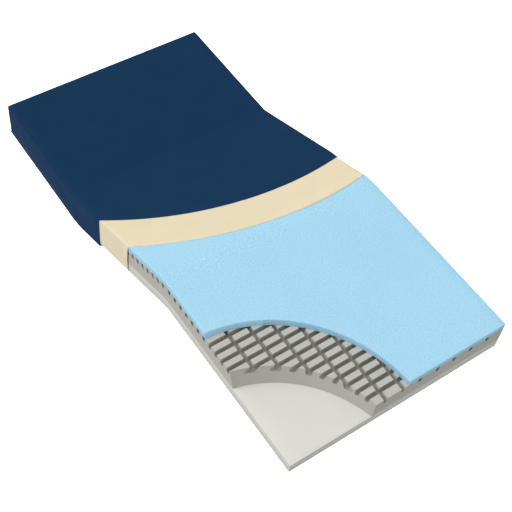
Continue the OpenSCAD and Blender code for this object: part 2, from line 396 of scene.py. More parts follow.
def outward(bm, probe):
    """Turns the whole sheet over if the face nearest probe doesn't look away from the mattress."""
    bmesh.ops.recalc_face_normals(bm, faces=bm.faces[:])
    face = min(bm.faces, key=lambda f: (f.calc_center_median() - probe).length)
    away = probe - Vector((probe.x * 0.5, 0, MID_HEIGHT))
    if face.normal.dot(away) < 0:
        bmesh.ops.reverse_faces(bm, faces=bm.faces[:])


def cloth_map(bm, head_x, top_z, half_width):
    """Lays the weave out flat, in metres: the sides and the head end unfold from the top."""
    layer = bm.loops.layers.uv.new("cloth")
    for face in bm.faces:
        n = face.normal
        for loop in face.loops:
            x, y, z = loop.vert.co
            if abs(n.x) > max(abs(n.y), abs(n.z)):
                uv = (head_x - (top_z - z), y)
            elif abs(n.y) > abs(n.z):
                uv = (x, math.copysign(half_width + top_z - z, n.y))
            else:
                uv = (x, y)
            loop[layer].uv = uv


def rough_part(name, bm):
    """An object that is no piece yet, or none of the mattress's."""
    mesh = bpy.data.meshes.new(name)
    bm.to_mesh(mesh)
    bm.free()
    obj = bpy.data.objects.new(name, mesh)
    bpy.context.scene.collection.objects.link(obj)
    return obj


def piece(name, bm, finish, lay=None, smooth=38):
    """A finished piece: its flat places are kept as "flat", then it is laid on the bends."""
    obj = rough_part(name, bm)
    mesh = obj.data
    if not mesh.vertices:
        raise RuntimeError(f"{name} came out empty")
    flat = [c for v in mesh.vertices for c in v.co]
    kept = mesh.attributes.new("flat", "FLOAT_VECTOR", "POINT")
    kept.data.foreach_set("vector", flat)
    if lay:
        laid = [c for v in mesh.vertices for c in lay(v.co)]
        mesh.vertices.foreach_set("co", laid)
    mesh.polygons.foreach_set("use_smooth", [True] * len(mesh.polygons))
    mesh.set_sharp_from_angle(angle=math.radians(smooth))
    mesh.update()
    mesh.materials.append(finish)
    return obj


def thicken(obj, thickness):
    """Gives a sheet its cloth thickness, inwards."""
    solid = obj.modifiers.new("cloth thickness", "SOLIDIFY")
    solid.thickness = thickness
    solid.offset = -1
    solid.use_even_offset = True
    solid.use_rim = True
    settle(obj)


def soften_fabric(obj, pressure, cap, frames=20):
    """Lets the cloth find its own shape: held along its edges, it is pressed out from inside,
    and no point moves further than cap. Then it is subdivided once."""
    mesh = obj.data
    bm = bmesh.new()
    bm.from_mesh(mesh)
    edge = {v.index for v in bm.verts if v.is_boundary}
    near = {e.other_vert(v).index for v in bm.verts if v.is_boundary for e in v.link_edges}
    bm.free()
    held = obj.vertex_groups.new(name="held")
    held.add(sorted(near), 0.6, "REPLACE")
    held.add(sorted(edge), 1.0, "REPLACE")
    cloth = obj.modifiers.new("cloth", "CLOTH")
    fabric = cloth.settings
    fabric.quality = 6
    fabric.mass = 0.35
    fabric.tension_stiffness = 25
    fabric.compression_stiffness = 25
    fabric.shear_stiffness = 12
    fabric.bending_stiffness = 2.5
    fabric.vertex_group_mass = "held"
    fabric.use_pressure = True
    fabric.uniform_pressure_force = pressure
    fabric.effector_weights.gravity = 0
    cloth.point_cache.frame_start = 1
    cloth.point_cache.frame_end = frames
    scene = bpy.context.scene
    for frame_number in range(1, frames + 1):
        scene.frame_set(frame_number)
    shaped = obj.evaluated_get(bpy.context.evaluated_depsgraph_get()).to_mesh()
    for vertex, moved in zip(mesh.vertices, shaped.vertices):
        step = moved.co - vertex.co
        outward_step = step.dot(vertex.normal)
        if outward_step > 0:
            vertex.co += vertex.normal * (cap * math.tanh(outward_step / cap))
    obj.modifiers.clear()
    obj.vertex_groups.clear()
    scene.frame_set(1)
    smooth = obj.modifiers.new("smooth cloth", "SUBSURF")
    smooth.levels = smooth.render_levels = 1
    smooth.boundary_smooth = "PRESERVE_CORNERS"
    settle(obj)


def ease(x):
    """Rises smoothly from 0 to 1."""
    x = max(0.0, min(1.0, x))
    return x * x * (3 - 2 * x)


def hug(bm, reach, half, top, inset, length):
    """Draws the last stretch of a sheet, before its trimmed edge, in onto what it covers."""
    for v in bm.verts:
        x, y, z = v.co
        pull = inset * ease(1 - (reach(y, z) - x) / length)
        if z > top - 1e-4:
            v.co.z -= pull
        if abs(y) > half - 1e-4:
            v.co.y -= math.copysign(pull, y)


def settle(obj):
    """Applies the piece's modifiers to its mesh."""
    graph = bpy.context.evaluated_depsgraph_get()
    graph.update()
    mesh = bpy.data.meshes.new_from_object(
        obj.evaluated_get(graph), preserve_all_data_layers=True, depsgraph=graph
    )
    old = obj.data
    obj.modifiers.clear()
    obj.data = mesh
    mesh.name = obj.name
    bpy.data.meshes.remove(old)


def hip_blend(obj):
    """Bakes the piece's placement into its mesh."""
    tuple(bending()(Vector((-HIP_FLEX, 0, 0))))
    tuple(bending()(Vector((HIP_FLEX, 0, 0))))
    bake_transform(obj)


def knee_blend(obj):
    """Bakes the piece's placement into its mesh."""
    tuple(bending()(Vector((KNEE_FLEX[0], 0, MID_HEIGHT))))
    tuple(bending()(Vector((KNEE_FLEX[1], 0, MID_HEIGHT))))
    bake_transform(obj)


def foam_pair(head, foot, layer):
    """The head and foot pieces of a foam layer stand for its solids, which are hidden; their
    placement is baked into their meshes.
    """
    hip_blend(head)
    knee_blend(foot)
    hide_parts(f"{layer}_back", f"{layer}_hip")
    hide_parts(f"{layer}_seat", f"{layer}_knee", f"{layer}_foot")


# ---------------------------------------------------------------- finishes


# Nearly all of a noise lies between these values
NOISE_SPAN = (0.3, 0.7)


class Finish:
    """A procedural material under construction."""

    def __init__(self, name, colour, roughness, specular=0.3):
        self.material = bpy.data.materials.new(name)
        self.material.use_nodes = True
        self.material.diffuse_color = (*colour, 1)
        self.tree = self.material.node_tree
        self.shader = self.tree.nodes["Principled BSDF"]
        self.colour = tuple(colour)
        self.set(self.shader, "Base Color", (*colour, 1))
        self.set(self.shader, "Roughness", roughness)
        self.set(self.shader, "Specular IOR Level", specular)
        self.height = None

    def set(self, node, socket, value):
        node.inputs[socket].default_value = value

    def node(self, kind, **inputs):
        made = self.tree.nodes.new("ShaderNode" + kind)
        for socket, value in inputs.items():
            self.feed(made, socket.replace("_", " "), value)
        return made

    def feed(self, node, socket, value):
        if isinstance(value, bpy.types.NodeSocket):
            self.tree.links.new(value, node.inputs[socket])
        else:
            node.inputs[socket].default_value = value

    def flat(self):
        """Places on the flat foam, which stay with the foam as it bends."""
        made = self.node("Attribute")
        made.attribute_name = "flat"
        return made.outputs["Vector"]

    def cloth(self):
        """Places on the cut cloth, in metres."""
        made = self.node("UVMap")
        made.uv_map = "cloth"
        return made.outputs["UV"]

    def noise(self, at, scale, detail=2.0, rough=0.5):
        return self.node(
            "TexNoise", Vector=at, Scale=scale, Detail=detail, Roughness=rough
        ).outputs["Fac"]

    def times(self, a, b):
        made = self.tree.nodes.new("ShaderNodeMath")
        made.operation = "MULTIPLY"
        self.feed(made, 0, a)
        self.feed(made, 1, b)
        return made.outputs[0]

    def ranged(self, value, low, high, to_low, to_high):
        made = self.node("MapRange", Value=value)
        limits = {"From Min": low, "From Max": high, "To Min": to_low, "To Max": to_high}
        for socket, limit in limits.items():
            self.set(made, socket, limit)
        return made.outputs["Result"]

    def mix(self, kind, share, second):
        """Mixes a second colour into the base colour so far."""
        made = self.tree.nodes.new("ShaderNodeMix")
        made.data_type = "RGBA"
        made.blend_type = kind
        self.feed(made, 0, share)
        source = self.shader.inputs["Base Color"]
        so_far = source.links[0].from_socket if source.is_linked else (*self.colour, 1)
        self.feed(made, 6, so_far)
        self.feed(made, 7, second)
        self.tree.links.new(made.outputs[2], source)

    def tint(self, shade):
        """Multiplies the colour by a shade that varies over the piece."""
        grey = self.node("CombineColor", Red=shade, Green=shade, Blue=shade)
        self.mix("MULTIPLY", 1.0, grey.outputs["Color"])

    def toward(self, colour, share):
        """Mixes another colour in, by a share that varies over the piece."""
        self.mix("MIX", share, (*colour, 1))

    def mottle(self, noise, dark, light):
        """Varies the shade with a noise."""
        self.tint(self.ranged(noise, *NOISE_SPAN, dark, light))

    def paint_shade_on_cuts(self, shade):
        """Paints shade on the foam: darker towards that shade as a face's mark rises to 1."""
        made = self.node("Attribute")
        made.attribute_name = "cut"
        self.tint(self.ranged(made.outputs["Fac"], 0.0, 1.0, 1.0, shade))

    def rough(self, noise, low, high):
        """Varies the roughness with a noise."""
        value = self.ranged(noise, *NOISE_SPAN, low, high)
        self.tree.links.new(value, self.shader.inputs["Roughness"])

    def bump(self, height, distance, strength=1.0):
        made = self.node("Bump", Height=height, Distance=distance, Strength=strength)
        if self.height:
            self.tree.links.new(self.height, made.inputs["Normal"])
        self.height = made.outputs["Normal"]
        self.tree.links.new(self.height, self.shader.inputs["Normal"])

    def bands(self, at, direction, pitch):
        """Rounded ridges a pitch apart across one direction of the cloth."""
        made = self.node("TexWave", Vector=at, Scale=math.tau / (20 * pitch))
        made.wave_type = "BANDS"
        made.bands_direction = direction
        made.wave_profile = "SIN"
        return made.outputs["Fac"]


def foam_finish(name, colour, cell, grain, cloud, painted_shade):
    """Open-cell foam: small pores, a fine grain, a slow change of shade, and painted shade on its
    walls and down its cuts.
    """
    made = Finish(name, colour, 0.93, 0.12)
    at = made.flat()
    pores = made.node("TexVoronoi", Vector=at, Scale=1 / cell).outputs["Distance"]
    pits = made.ranged(pores, 0.0, 0.55, 0.0, 1.0)
    fine = made.noise(at, 2.2 / cell, 3.0, 0.6)
    slow = made.noise(at, 7.0, 2.0)
    made.mottle(fine, 1 - grain, 1 + grain * 0.6)
    made.mottle(slow, 1 - cloud, 1 + cloud * 0.5)
    # Painted shade in the pits of the pores
    made.tint(made.ranged(pores, 0.0, 0.3, 1 - grain * 1.5, 1.0))
    # Painted shade on the walls and down the cuts
    made.paint_shade_on_cuts(painted_shade)
    made.bump(pits, cell * 0.25, 0.5)
    made.bump(fine, cell * 0.3, 0.5)
    made.rough(fine, 0.88, 0.97)
    return made.material


def gel_finish():
    """Gel foam: a smooth skin of small closed cells with darker gel beads in it."""
    made = Finish("gel foam", colours().gel, 0.72, 0.2)
    bead_blue, pale_speck = (0.26, 0.55, 0.80), (0.52, 0.80, 0.94)
    at = made.flat()
    beads = made.node("TexVoronoi", Vector=at, Scale=1 / 0.008).outputs["Distance"]
    grain = made.noise(at, 420.0, 3.0, 0.65)
    speck = made.noise(at, 210.0, 2.0, 0.7)
    cloud = made.noise(at, 5.0, 2.0)
    made.toward(bead_blue, made.ranged(beads, 0.0, 0.4, 0.5, 0.0))
    made.toward(pale_speck, made.ranged(speck, 0.5, 0.72, 0.0, 0.5))
    made.tint(made.ranged(speck, 0.32, 0.68, 0.91, 1.045))
    made.mottle(grain, 0.96, 1.02)
    made.mottle(cloud, 0.985, 1.01)
    # Painted shade on the gel's sides and underside
    made.paint_shade_on_cuts(0.86)
    made.bump(beads, 0.0008, 0.35)
    made.bump(grain, 0.0006, 0.45)
    made.rough(grain, 0.62, 0.8)
    return made.material


def cover_finish(name, colour, shade=1.0):
    """Coated stretch fabric: a fine weave under a matt skin; shade darkens a copy of it as painted
    shade.
    """
    made = Finish(name, [c * shade for c in colour], 0.7, 0.01)
    at = made.cloth()
    warp = made.bands(at, "X", 0.0013)
    weft = made.bands(at, "Y", 0.0013)
    weave = made.times(warp, weft)
    drape = made.noise(at, 9.0, 3.0, 0.55)
    skin = made.noise(at, 900.0, 2.0)
    made.tint(made.ranged(weave, 0.0, 1.0, 0.94, 1.06))
    made.mottle(drape, 0.97, 1.03)
    made.bump(weave, 0.00022, 0.6)
    made.bump(drape, 0.004, 0.12)
    made.rough(skin, 0.64, 0.78)
    return made.material


def knit_finish():
    """Fire barrier: a fine rib knit of cream yarn."""
    made = Finish("fire barrier knit", colours().sock, 0.9, 0.1)
    made.set(made.shader, "Sheen Weight", 0.08)
    made.set(made.shader, "Sheen Roughness", 0.6)
    at = made.cloth()
    ribs = made.bands(at, "Y", 0.0022)
    courses = made.bands(at, "X", 0.0016)
    loops = made.times(ribs, courses)
    yarn = made.noise(at, 700.0, 3.0, 0.6)
    slub = made.noise(at, 12.0, 3.0, 0.6)
    made.tint(made.ranged(loops, 0.0, 1.0, 0.93, 1.04))
    made.mottle(yarn, 0.96, 1.03)
    made.mottle(slub, 0.975, 1.01)
    made.bump(loops, 0.0005, 0.6)
    made.bump(yarn, 0.0003, 0.5)
    made.rough(yarn, 0.84, 0.96)
    return made.material


def tape_finish():
    """Zip tape: a black herringbone band."""
    made = Finish("zip tape weave", colours().zip_black, 0.85, 0.2)
    at = made.cloth()
    made.bump(made.times(made.bands(at, "X", 0.0006), made.bands(at, "Y", 0.0009)), 0.0002)
    made.mottle(made.noise(at, 400.0), 0.8, 1.2)
    return made.material


def plain_finish(name, colour, roughness, metallic=0.0, specular=0.5, grain=350.0, depth=0.00005):
    """Moulded, metal or spun parts of the zip, marked finely by use."""
    made = Finish(name, colour, roughness, specular)
    made.set(made.shader, "Metallic", metallic)
    at = made.flat()
    marks = made.noise(at, grain, 3.0, 0.6)
    made.mottle(marks, 0.9, 1.06)
    made.rough(marks, roughness * 0.85, roughness * 1.15)
    made.bump(marks, depth, 0.5)
    return made.material


def finish(make, name, *args):
    """The finish of that name, made once."""
    return bpy.data.materials.get(name) or make(name, *args)


# ---------------------------------------------------------------- foams


class MATTRESS_OT_base_foam(bpy.types.Operator):
    """The firm base foam, as a head piece and a foot piece"""

    bl_idname = "mattress.base_foam"
    bl_label = "Base foam"

    def execute(self, context):
        size, lay = sizes(), bending()
        half = size.foam_width / 2
        ys = spread(-half, half, 0.05)
        # The last number is the painted shade on the foam's walls
        grain = foam_finish("base foam", colours().base, 0.0016, 0.035, 0.02, 0.88)
        block = slab(head_lines(), ys, 0, size.base_foam)
        head = piece("base_foam_head_piece", block, grain, lay)
        block = slab(foot_lines(), ys, 0, size.base_foam)
        foot = piece("base_foam_foot_piece", block, grain, lay)
        foam_pair(head, foot, "base_foam")
        return {"FINISHED"}


class MATTRESS_OT_cell_foam(bpy.types.Operator):
    """The cell foam, cut from above into rows and columns, as a head piece and a foot piece"""

    bl_idname = "mattress.cell_foam"
    bl_label = "Cell foam"

    wall_shade = 0.22  # painted shade on an outer wall, as a share of the shade painted at the bottom of a cut
    seat_first = 0.005  # the seat's first cut, past the knee line
    back_first = -0.036  # the back's first cut, from the hip line

    def cut_lines(self, marks, places, fit=lambda x: x):
        """Lines across a run of cuts, each with its depth: a wall, a round bottom and a wall."""
        size = sizes()
        r, depth = size.cut_width / 2, size.cut_depth
        wall = [(r + 0.0004, 0.0), (r, depth - r)]
        turns = (math.pi / 6, math.pi / 3)
        side = wall + [(r * math.cos(a), depth - r + r * math.sin(a)) for a in turns]
        section = [(-x, d) for x, d in side] + [(0.0, depth)] + [(x, d) for x, d in reversed(side)]
        lines = {marks[0]: 0.0, marks[1]: 0.0}
        for place in places:
            for x, d in section:
                lines[fit(place + x)] = d
        return sorted(lines.items())

    def cut_block(self, xs, ys, low, high):
        """A closed block whose top is cut along xs and ys."""
        bm = bmesh.new()
        knots = net(bm, [x for x, _ in xs], [y for y, _ in ys])
        for (i, j), v in knots.items():
            v.co.z = high - max(xs[i][1], ys[j][1])
        cells = set(bm.faces)
        sides = []
        for side in (ys[0][0], ys[-1][0]):
            rim = [
                e for e in bm.edges
                if e.is_boundary and all(abs(v.co.y - side) < 1e-6 for v in e.verts)
            ]
            made = bmesh.ops.extrude_edge_only(bm, edges=rim)["geom"]
            for v in (g for g in made if isinstance(g, bmesh.types.BMVert)):
                v.co.z = low
            sides += [g for g in made if isinstance(g, bmesh.types.BMEdge) and
                      all(abs(v.co.z - low) < 1e-6 for v in g.verts)]
        bmesh.ops.bridge_loops(bm, edges=sides)
        bmesh.ops.holes_fill(bm, edges=[e for e in bm.edges if e.is_boundary], sides=0)
        bmesh.ops.recalc_face_normals(bm, faces=bm.faces[:])
        depth = sizes().cut_depth
        # Painted shade: darker the deeper a face lies in a cut, and the outer walls take a share of
        # it
        mark_painted_shade(bm, lambda face, loop: (
            (high - loop.vert.co.z) / depth if face in cells else self.wall_shade
        ))
        return bm

    def corner_cutter(self, lay_x, lay_y, radius):
        """A post, square to the seat section, as it stands on the flat mattress."""
        bm = bmesh.new()
        bmesh.ops.create_cone(
            bm, cap_ends=True, cap_tris=False, segments=192,
            radius1=radius, radius2=radius, depth=1.2,
        )
        reach = lay_x - SEAT_LENGTH
        place = Matrix.Translation((
            SEAT_LENGTH + reach * math.cos(KNEE_BEND), lay_y, reach * math.sin(KNEE_BEND)
        )) @ Matrix.Rotation(-KNEE_BEND, 4, "Y")
        bmesh.ops.transform(bm, matrix=place, verts=bm.verts[:])
        # Painted shade: the wall that this post leaves takes the outer walls' share
        mark_painted_shade(bm, lambda face, loop: self.wall_shade)
        return rough_part("corner post", bm)

    def execute(self, context):
        size, lay = sizes(), bending()
        half = size.foam_width / 2
        low = size.base_foam
        high = low + size.cell_foam
        pitch = size.cut_pitch
        foot_end = SEAT_LENGTH + size.foot_length
        column = size.foam_width / size.cell_columns
        between = [-half + column * i for i in range(1, size.cell_columns)]
        ys = self.cut_lines((-half, half), between)

        # The top stretches round the knee, so the cuts there are closer together on the flat foam
        start, end = SEAT_LENGTH - size.knee_round, SEAT_LENGTH + size.knee_round
        stretch = knee_stretch(high)

        def seat_fit(x):
            return x if x < start else start + (x - start) / stretch

        def foot_fit(x):
            return x if x > end else end - (end - x) / stretch

        seat_cuts = [SEAT_LENGTH + self.seat_first - pitch * i for i in range(19)]
        foot_cuts = [foot_end - size.end_row - pitch * i for i in range(20)]
        back_cuts = [self.back_first - pitch * i for i in range(15)]
        head_places = back_cuts + [x for x in seat_cuts if x < FOAM_SPLIT]
        head_xs = self.cut_lines((-size.back_length, FOAM_SPLIT), head_places)
        foot_marks = (FOAM_SPLIT, foot_end)
        seat_places = [x for x in seat_cuts if x > FOAM_SPLIT]
        foot_xs = dict(self.cut_lines(foot_marks, seat_places, seat_fit))
        foot_xs.update(self.cut_lines(foot_marks, foot_cuts, foot_fit))
        # The last number is the painted shade on the foam's walls and down its cuts
        grain = foam_finish("cell foam", colours().cell, 0.0019, 0.05, 0.025, 0.55)
        bm = self.cut_block(head_xs, ys, low, high)
        head = piece("cell_foam_head_piece", bm, grain, lay, 35)
        bm = self.cut_block(sorted(foot_xs.items()), ys, low, high)
        whole = rough_part("cell foam, uncut corner", bm)
        post = self.corner_cutter(*CELL_CORNER)
        cut = whole.modifiers.new("corner cut", "BOOLEAN")
        cut.operation = "DIFFERENCE"
        cut.solver = "MANIFOLD"
        cut.object = post
        settle(whole)
        bm = bmesh.new()
        bm.from_mesh(whole.data)
        bmesh.ops.dissolve_degenerate(bm, dist=1e-5, edges=bm.edges[:])
        for obj in (whole, post):
            old = obj.data
            bpy.data.objects.remove(obj)
            bpy.data.meshes.remove(old)
        foot = piece("cell_foam_foot_piece", bm, grain, lay, 35)
        foam_pair(head, foot, "cell_foam")
        return {"FINISHED"}


class MATTRESS_OT_gel_foam(bpy.types.Operator):
    """The gel foam, as a head piece and a foot piece with its corner cut back"""

    bl_idname = "mattress.gel_foam"
    bl_label = "Gel foam"

    def execute(self, context):
        size, lay = sizes(), bending()
        half = size.foam_width / 2
        low = size.base_foam + size.cell_foam
        high = low + size.gel_foam
        foot_end = SEAT_LENGTH + size.foot_length
        centre_x, centre_y, radius = GEL_CORNER
        reach = corner_line(centre_x, centre_y, radius, foot_end)
        gel = gel_finish()
        block = slab(head_lines(), spread(-half, half, 0.05), low, high)
        head = piece("gel_foam_head_piece", block, gel, lay)
        # Lines that follow the cut at even turns, so that its curve is smooth
        first = math.asin((-half - centre_y) / radius)
        turns = spread(first, math.pi / 2, math.radians(1.8))
        rim = [centre_y + radius * math.sin(a) for a in turns]
        far = foot_end - SEAT_LENGTH
        ends = [
            centre_y + math.sqrt(radius**2 - (
                centre_x - SEAT_LENGTH - far * math.cos(KNEE_BEND) - z * math.sin(KNEE_BEND)
            ) ** 2)
            for z in (low, high)
        ]
        curved = [y for y in rim if y < min(ends) - 0.0004]
        ys = sorted(curved + ends + spread(max(ends) + 0.012, half, 0.04))
        block = slab(foot_lines(), ys, low, high, KNEE_FLEX[1], reach)
        foot = piece("gel_foam_foot_piece", block, gel, lay)
        foam_pair(head, foot, "gel_foam")
        return {"FINISHED"}


# ---------------------------------------------------------------- sock and cover


def sleeve(bm, xs, section, fixed, reach):
    """A sheet run along a section of (y, z) points. Past fixed its lines draw in to reach."""
    knots = net(bm, xs, list(range(len(section))))
    for (i, j), v in knots.items():
        y, z = section[j]
        x = xs[i]
        if x > fixed:
            share = (x - fixed) / (xs[-1] - fixed)
            x = fixed + share * (reach(y, z) - fixed)
        v.co = (x, y, z)


def head_wall(bm, x, ys, zs):
    """A wall of cloth across the head end."""
    for (i, j), v in net(bm, ys, zs).items():
        v.co = (x, ys[i], zs[j])


class MATTRESS_OT_fire_sock(bpy.types.Operator):
    """The knitted fire barrier sock, closed at the head end and trimmed to a curve at the other"""

    bl_idname = "mattress.fire_sock"
    bl_label = "Fire barrier sock"

    def execute(self, context):
        size, lay = sizes(), bending()
        stand = size.sock_stand
        half = size.foam_width / 2 + stand
        top = size.base_foam + size.cell_foam + size.gel_foam + stand
        reach = trim_line(*SOCK_TRIM)
        ys = spread(-half, half, 0.019)
        zs = spread(-stand, top, 0.019)
        ring = (
            [(-half, z) for z in zs] + [(y, top) for y in ys[1:]]
            + [(half, z) for z in reversed(zs[:-1])] + [(y, -stand) for y in reversed(ys[:-1])]
        )
        head_x = -size.back_length - stand
        bm = bmesh.new()
        sleeve(bm, through([head_x, *HIP_MARKS, *SOCK_DRAW], 0.014), ring, SOCK_DRAW[0], reach)
        head_wall(bm, head_x, ys, zs)
        bmesh.ops.remove_doubles(bm, verts=bm.verts[:], dist=1e-5)
        outward(bm, Vector((0.2, 0, top)))
        hug(bm, reach, half, top, 0.0004, 0.05)
        # The side walls stand off the foam a little where they are cut
        for v in bm.verts:
            x, y, z = v.co
            if abs(y) > half - 0.001:
                rise = max(0.0, 1 - ((z - top / 2) / (top / 2)) ** 2)
                loose = 0.0042 * rise * ease(1 - (reach(y, z) - x) / 0.055)
                v.co.y += math.copysign(loose, y)
        round_edges(bm, sharp_edges(bm), 0.005)
        cloth_map(bm, head_x, top, half)
        sock = piece("fire_sock", bm, knit_finish(), lay)
        soften_fabric(sock, 0.6, 0.0008)
        thicken(sock, size.sock_cloth)
        hip_blend(sock)
        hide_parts("fire_barrier_back", "fire_barrier_hip", "fire_barrier_seat")
        return {"FINISHED"}


class MATTRESS_OT_cover_top(bpy.types.Operator):
    """The cover's top sheet with its side walls and its head end above the zip"""

    bl_idname = "mattress.cover_top"
    bl_label = "Cover top"

    def execute(self, context):
        size, lay = sizes(), bending()
        stand = size.cover_stand
        half = size.foam_width / 2 + stand
        top = size.base_foam + size.cell_foam + size.gel_foam + stand
        hem = size.cover_cloth - stand
        slot_top = size.zip_height + size.zip_slot / 2
        slot_y = size.zip_length / 2
        reach = trim_line(*COVER_TRIM)
        ys = through([-half, -slot_y, slot_y, half], 0.0125)
        zs = through([hem, slot_top, top], 0.0125)
        section = (
            [(-half, z) for z in zs] + [(y, top) for y in ys[1:]]
            + [(half, z) for z in reversed(zs[:-1])]
        )
        head_x = -size.back_length - stand
        bm = bmesh.new()
        xs = through([head_x, *HIP_MARKS, *COVER_DRAW], 0.012)
        sleeve(bm, xs, section, COVER_DRAW[0], reach)
        head_wall(bm, head_x, ys, zs)
        bmesh.ops.remove_doubles(bm, verts=bm.verts[:], dist=1e-5)
        opening = [
            f for f in bm.faces
            if all(abs(v.co.x - head_x) < 1e-6 for v in f.verts)
            and abs(f.calc_center_median().y) < slot_y and f.calc_center_median().z < slot_top
        ]
        bmesh.ops.delete(bm, geom=opening, context="FACES")
        outward(bm, Vector((0.1, 0, top)))
        hug(bm, reach, half, top, 0.0019, 0.04)
        round_edges(bm, sharp_edges(bm), 0.006)
        cloth_map(bm, head_x, top, half)
        navy = finish(cover_finish, "cover fabric", colours().cover)
        cover = piece("cover_top", bm, navy, lay)
        soften_fabric(cover, 1.0, 0.0028)
        thicken(cover, size.cover_cloth)
        hip_blend(cover)
        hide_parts("cover_top_back", "cover_top_hip", "cover_top_seat")
        return {"FINISHED"}


class MATTRESS_OT_cover_base(bpy.types.Operator):
    """The cover's base sheet, which turns up to the zip, and the welded beads along its sides"""

    bl_idname = "mattress.cover_base"
    bl_label = "Cover base"

    def execute(self, context):
        size, lay = sizes(), bending()
        stand = size.cover_stand
        half = size.foam_width / 2 + stand
        slot_low = size.zip_height - size.zip_slot / 2
        slot_y = size.zip_length / 2
        reach = trim_line(*COVER_TRIM)
        head_x = -size.back_length - stand
        xs = through([head_x, *HIP_MARKS, *COVER_DRAW], 0.014)
        ys = through([-half, -slot_y, slot_y, half], 0.02)
        bm = bmesh.new()
        sleeve(bm, xs, [(y, -stand) for y in ys], COVER_DRAW[0], reach)
        below_zip = [y for y in ys if abs(y) <= slot_y + 1e-6]
        head_wall(bm, head_x, below_zip, spread(-stand, slot_low, 0.012))
        bmesh.ops.remove_doubles(bm, verts=bm.verts[:], dist=1e-5)
        outward(bm, Vector((0.1, 0, -stand)))
        round_edges(bm, sharp_edges(bm), 0.004)
        cloth_map(bm, head_x, -stand, half)
        # Painted shade: the underside is the cover fabric darkened to 0.85
        under = cover_finish("cover underside", colours().cover, 0.85)
        base = piece("cover_base", bm, under, lay)
        thicken(base, size.cover_cloth)
        hip_blend(base)
        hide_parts("cover_base_back", "cover_base_hip", "cover_base_seat")

        # The bead where top and base are welded together, along both sides
        navy = finish(cover_finish, "cover fabric", colours().cover)
        bead = 0.0016
        for side, name in ((-1, "near"), (1, "far")):
            bm = bmesh.new()
            ring = [
                (side * (half - 0.0006) + bead * math.cos(a), bead * math.sin(a) - 0.0046)
                for a in spread(0, math.tau, math.pi / 4)
            ]
            sleeve(bm, xs, ring, COVER_DRAW[0], reach)
            bmesh.ops.remove_doubles(bm, verts=bm.verts[:], dist=1e-6)
            bmesh.ops.holes_fill(bm, edges=[e for e in bm.edges if e.is_boundary], sides=0)
            bmesh.ops.recalc_face_normals(bm, faces=bm.faces[:])
            cloth_map(bm, head_x, 0, half)
            hip_blend(piece(f"cover_bead_{name}", bm, navy, lay))
        return {"FINISHED"}


# ---------------------------------------------------------------- zip and flap


def boxes(bm, spots, size):
    """A block at each spot."""
    for spot in spots:
        bmesh.ops.create_cube(
            bm, size=1, matrix=Matrix.Translation(spot) @ Matrix.Diagonal((*size, 1))
        )


def flap_sway(y):
    """How far the flap's free edge stands out at y."""
    return 0.00045 * math.sin(y * 23) + 0.0003 * math.sin(y * 61 + 1.3)


def stitch_row(name, x, z, span, body, sway=lambda y: 0.0):
    """A row of stitches across the head end."""
    pitch = sizes().stitch_pitch
    bm = bmesh.new()
    count = int((span[1] - span[0]) / pitch)
    ys = [span[0] + pitch * (i + 0.5) for i in range(count)]
    boxes(bm, [(x - sway(y), y, z) for y in ys], (0.0007, pitch * 0.68, 0.0008))
    round_edges(bm, bm.edges[:], 0.00022, 1)
    thread = finish(plain_finish, "sewing thread", colours().thread, 0.6, 0.0, 0.4, 2500.0, 0.0001)
    row = piece(name, bm, thread, bending(), 60)
    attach(row, body)


def band(ys, zs, x):
    """A thin band of cloth across the head end, which faces the head."""
    bm = bmesh.new()
    head_wall(bm, x, ys, zs)
    for face in bm.faces:
        if face.normal.x > 0:
            face.normal_flip()
    return bm


class MATTRESS_OT_zip(bpy.types.Operator):
    """The zip across the head end: tapes, teeth, stops, slider and pull"""

    bl_idname = "mattress.zip"
    bl_label = "Zip"

    tape_edges = (0.0016, 0.0135)  # from the middle of the zip

    def execute(self, context):
        size, lay = sizes(), bending()
        z = size.zip_height
        half = size.zip_length / 2
        face_x = -size.back_length
        chain_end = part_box("zip_teeth_upper")[1].y
        tape = tape_finish()
        black = plain_finish("zip teeth plastic", colours().zip_black, 0.35)
        steel = plain_finish("zip steel", colours().steel, 0.3, 1.0, 0.5, 900.0)

        for name, way in (("zip_tape_upper", 1), ("zip_tape_lower", -1)):
            inner, outer = (z + way * edge for edge in self.tape_edges)
            low, high = sorted((inner, outer))
            bm = band(spread(-half, half, 0.012), spread(low, high, 0.004), face_x - 0.0048)
            for v in bm.verts:
                # Past the teeth the two tapes meet
                if v.co.y > chain_end and abs(v.co.z - inner) < 1e-6:
                    v.co.z = z + (inner - z) * 0.03
            cloth_map(bm, face_x, 0, half)
            strip = piece(f"{name}_cloth", bm, tape, lay)
            thicken(strip, 0.0006)
            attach(strip, "back")
            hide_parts(name)

        pitch = size.tooth_pitch
        for name, way, shift in (("zip_teeth_upper", 1, 0.0), ("zip_teeth_lower", -1, pitch / 2)):
            first, last = (corner.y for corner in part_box(name))
            count = int((last - first - pitch) / pitch)
            spots = [
                (face_x - 0.0045, first + shift + pitch * (i + 0.3), z + way * 0.0005)
                for i in range(count)
            ]
            bm = bmesh.new()
            boxes(bm, spots, (0.0017, pitch * 0.46, 0.0022))
            round_edges(bm, bm.edges[:], 0.0003, 1)
            teeth = piece(f"{name}_row", bm, black, lay, 60)
            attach(teeth, "back")
            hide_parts(name)

        for node, name, soften, body in (
            ("zip_stops", "zip_stop_clips", 0.0003, "back"),
            ("zip_slider", "zip_slider_body", 0.0002, "slider"),
            ("zip_pull", "zip_pull_tab", 0.00025, "pull"),
        ):
            bm = bmesh.new()
            bm.from_mesh(frame["nodes"][node].data)
            bmesh.ops.remove_doubles(bm, verts=bm.verts[:], dist=1e-6)
            bmesh.ops.dissolve_limit(
                bm, angle_limit=math.radians(2), verts=bm.verts[:], edges=bm.edges[:]
            )
            round_edges(bm, sharp_edges(bm, 60), soften)
            part = piece(name, bm, steel, None, 45)
            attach(part, body)
            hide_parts(node)
        return {"FINISHED"}


